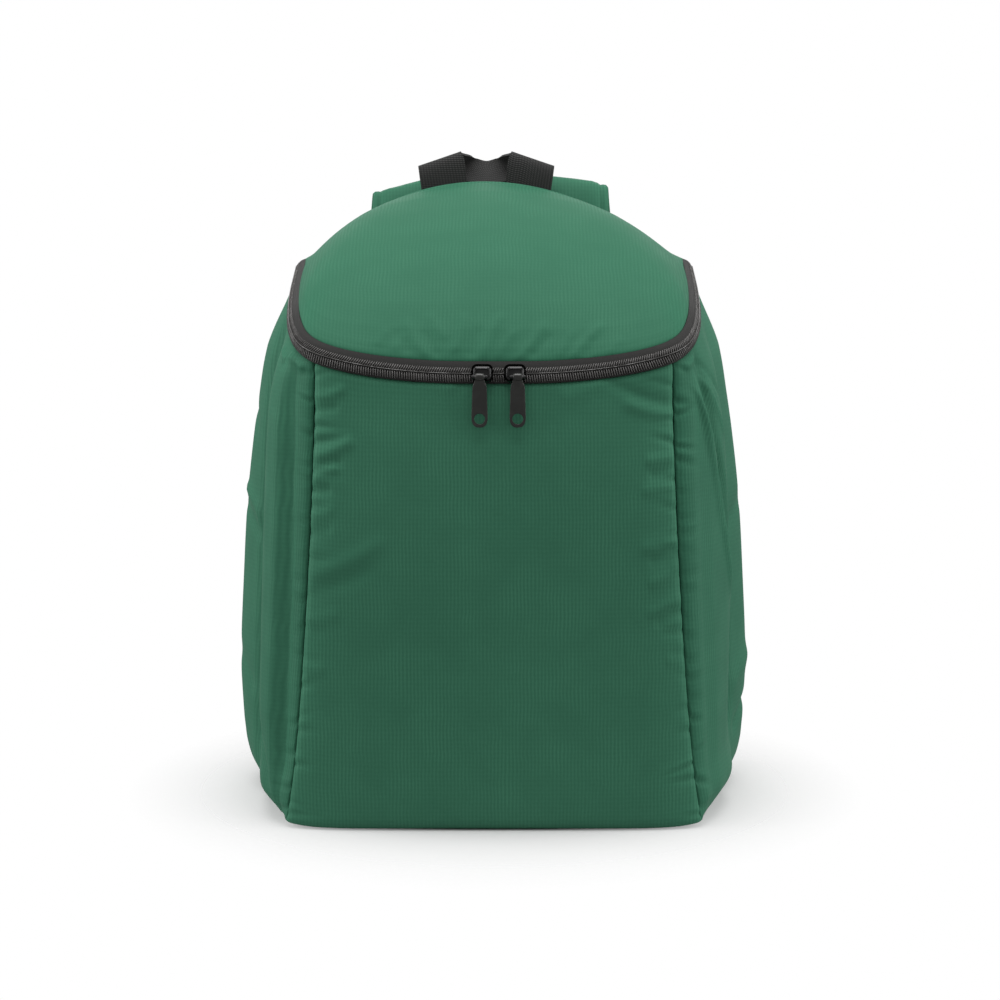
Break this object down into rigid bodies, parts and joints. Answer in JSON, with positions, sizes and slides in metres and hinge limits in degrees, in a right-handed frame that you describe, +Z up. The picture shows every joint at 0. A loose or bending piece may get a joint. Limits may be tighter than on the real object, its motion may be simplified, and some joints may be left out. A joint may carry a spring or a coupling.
{
  "type": "cooler backpack",
  "caption": "Soft cooler backpack in green ripstop cloth, domed lid with a black two-way zip, webbing carry handle, padded shoulder straps; standing upright, closed.",
  "frame": {"origin": "middle of the bounding box's underside, on the floor under the bag", "axes": "+Z up, -Y out of the front panel, +X to the right as seen from the front"},
  "size_m": [0.2962, 0.2104, 0.3677],
  "materials": {
    "green_front_cloth": "ripstop weave, slight sheen",
    "green_side_cloth": "ripstop weave, slight sheen",
    "green_side_cloth_right": "ripstop weave, slight sheen",
    "green_lid_cloth": "ripstop weave, slight sheen",
    "green_back_cloth": "ripstop weave, slight sheen",
    "green_strap_left": "ripstop weave, padded",
    "green_strap_right": "ripstop weave, padded",
    "black_tape_upper": "close woven tape",
    "black_tape_lower": "close woven tape",
    "black_coil": "satin",
    "black_handle_webbing": "ribbed webbing",
    "black_tail_left": "ribbed webbing",
    "black_tail_right": "ribbed webbing",
    "black_slider_left": "gloss",
    "black_slider_right": "gloss",
    "black_pull_left": "satin",
    "black_pull_right": "satin"
  },
  "bodies": {
    "bag": {"front_panel": "green_front_cloth", "side_gusset_left": "green_side_cloth", "side_gusset_right": "green_side_cloth_right", "lid": "green_lid_cloth", "back_panel": "green_back_cloth", "shoulder_strap_left": "green_strap_left", "shoulder_strap_right": "green_strap_right", "zip_tape_upper": "black_tape_upper", "zip_tape_lower": "black_tape_lower", "zip_chain": "black_coil", "grab_handle": "black_handle_webbing", "strap_tail_left": "black_tail_left", "strap_tail_right": "black_tail_right", "slider_left": "black_slider_left", "slider_right": "black_slider_right"},
    "pull_left": {"pull_left": "black_pull_left"},
    "pull_right": {"pull_right": "black_pull_right"}
  },
  "joints": [
    {"name": "pull_left_hinge", "type": "hinge", "parent": "bag", "child": "pull_left", "pos_m": [-0.00762, -0.10306, 0.25243], "axis": [-1, 0, 0], "range_deg": [0, 100]},
    {"name": "pull_right_hinge", "type": "hinge", "parent": "bag", "child": "pull_right", "pos_m": [0.01295, -0.10303, 0.25243], "axis": [-1, 0, 0], "range_deg": [0, 100]}
  ]
}
